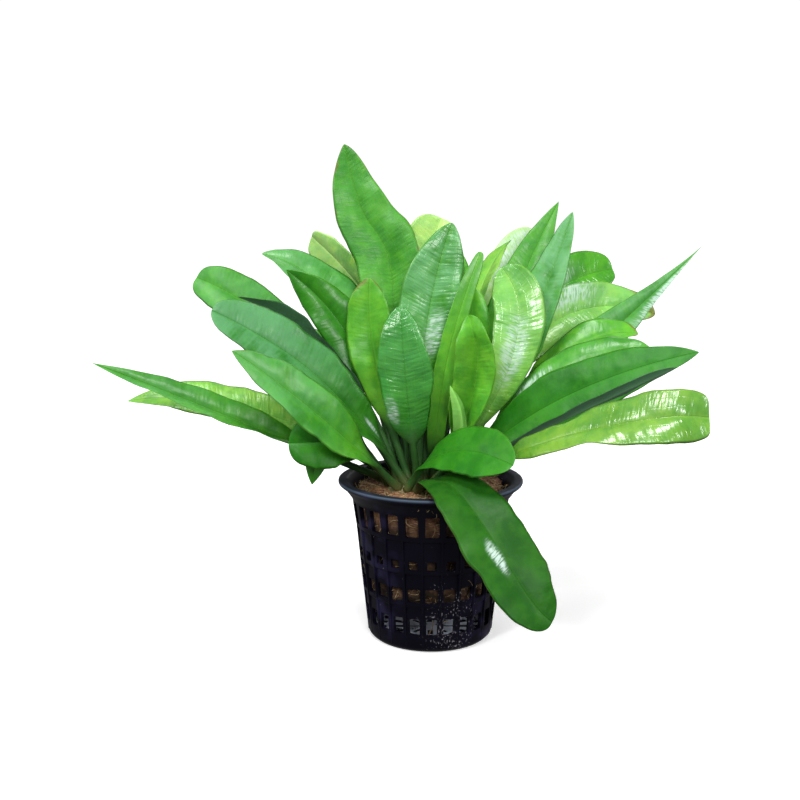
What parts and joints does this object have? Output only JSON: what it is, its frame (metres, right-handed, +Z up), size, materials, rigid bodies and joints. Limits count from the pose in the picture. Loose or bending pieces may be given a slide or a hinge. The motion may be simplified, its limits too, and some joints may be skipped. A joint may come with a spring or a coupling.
{
  "type": "potted echinodorus",
  "caption": "Water plant with a dense rosette of sword-shaped green leaves, rooted in rockwool in a small black slotted net pot that stands on its flat foot.",
  "frame": {"origin": "middle of the pot's flat underside, where it stands", "axes": "+Z up from the pot's foot to the leaves, +X to the right and -Y to the front as the plant is seen in the picture"},
  "size_m": [0.18, 0.1204, 0.146],
  "materials": {
    "pot_plastic": "satin",
    "rockwool": "matte",
    "crown": "matte",
    "outer_leaf": "satin",
    "middle_leaf": "satin",
    "inner_leaf": "satin",
    "heart_leaf": "satin"
  },
  "bodies": {
    "root": {"pot": "pot_plastic", "rockwool": "rockwool", "crown": "crown", "outer_leaf_01": "outer_leaf", "outer_leaf_02": "outer_leaf", "outer_leaf_03": "outer_leaf", "outer_leaf_04": "outer_leaf", "outer_leaf_05": "outer_leaf", "outer_leaf_06": "outer_leaf", "outer_leaf_07": "outer_leaf", "outer_leaf_08": "outer_leaf", "outer_leaf_09": "outer_leaf", "outer_leaf_10": "outer_leaf", "outer_leaf_11": "outer_leaf", "outer_leaf_12": "outer_leaf", "outer_leaf_13": "outer_leaf", "outer_leaf_14": "outer_leaf", "outer_leaf_15": "outer_leaf", "outer_leaf_16": "outer_leaf", "outer_leaf_17": "outer_leaf", "outer_leaf_18": "outer_leaf", "outer_leaf_19": "outer_leaf", "outer_leaf_20": "outer_leaf", "outer_leaf_21": "outer_leaf", "middle_leaf_01": "middle_leaf", "middle_leaf_02": "middle_leaf", "middle_leaf_03": "middle_leaf", "middle_leaf_04": "middle_leaf", "middle_leaf_05": "middle_leaf", "middle_leaf_06": "middle_leaf", "middle_leaf_07": "middle_leaf", "middle_leaf_08": "middle_leaf", "middle_leaf_09": "middle_leaf", "middle_leaf_10": "middle_leaf", "middle_leaf_11": "middle_leaf", "middle_leaf_12": "middle_leaf", "middle_leaf_13": "middle_leaf", "middle_leaf_14": "middle_leaf", "inner_leaf_01": "inner_leaf", "inner_leaf_02": "inner_leaf", "inner_leaf_03": "inner_leaf", "inner_leaf_04": "inner_leaf", "inner_leaf_05": "inner_leaf", "inner_leaf_06": "inner_leaf", "inner_leaf_07": "inner_leaf", "inner_leaf_08": "inner_leaf", "heart_leaf_01": "heart_leaf", "heart_leaf_02": "heart_leaf"}
  },
  "joints": []
}
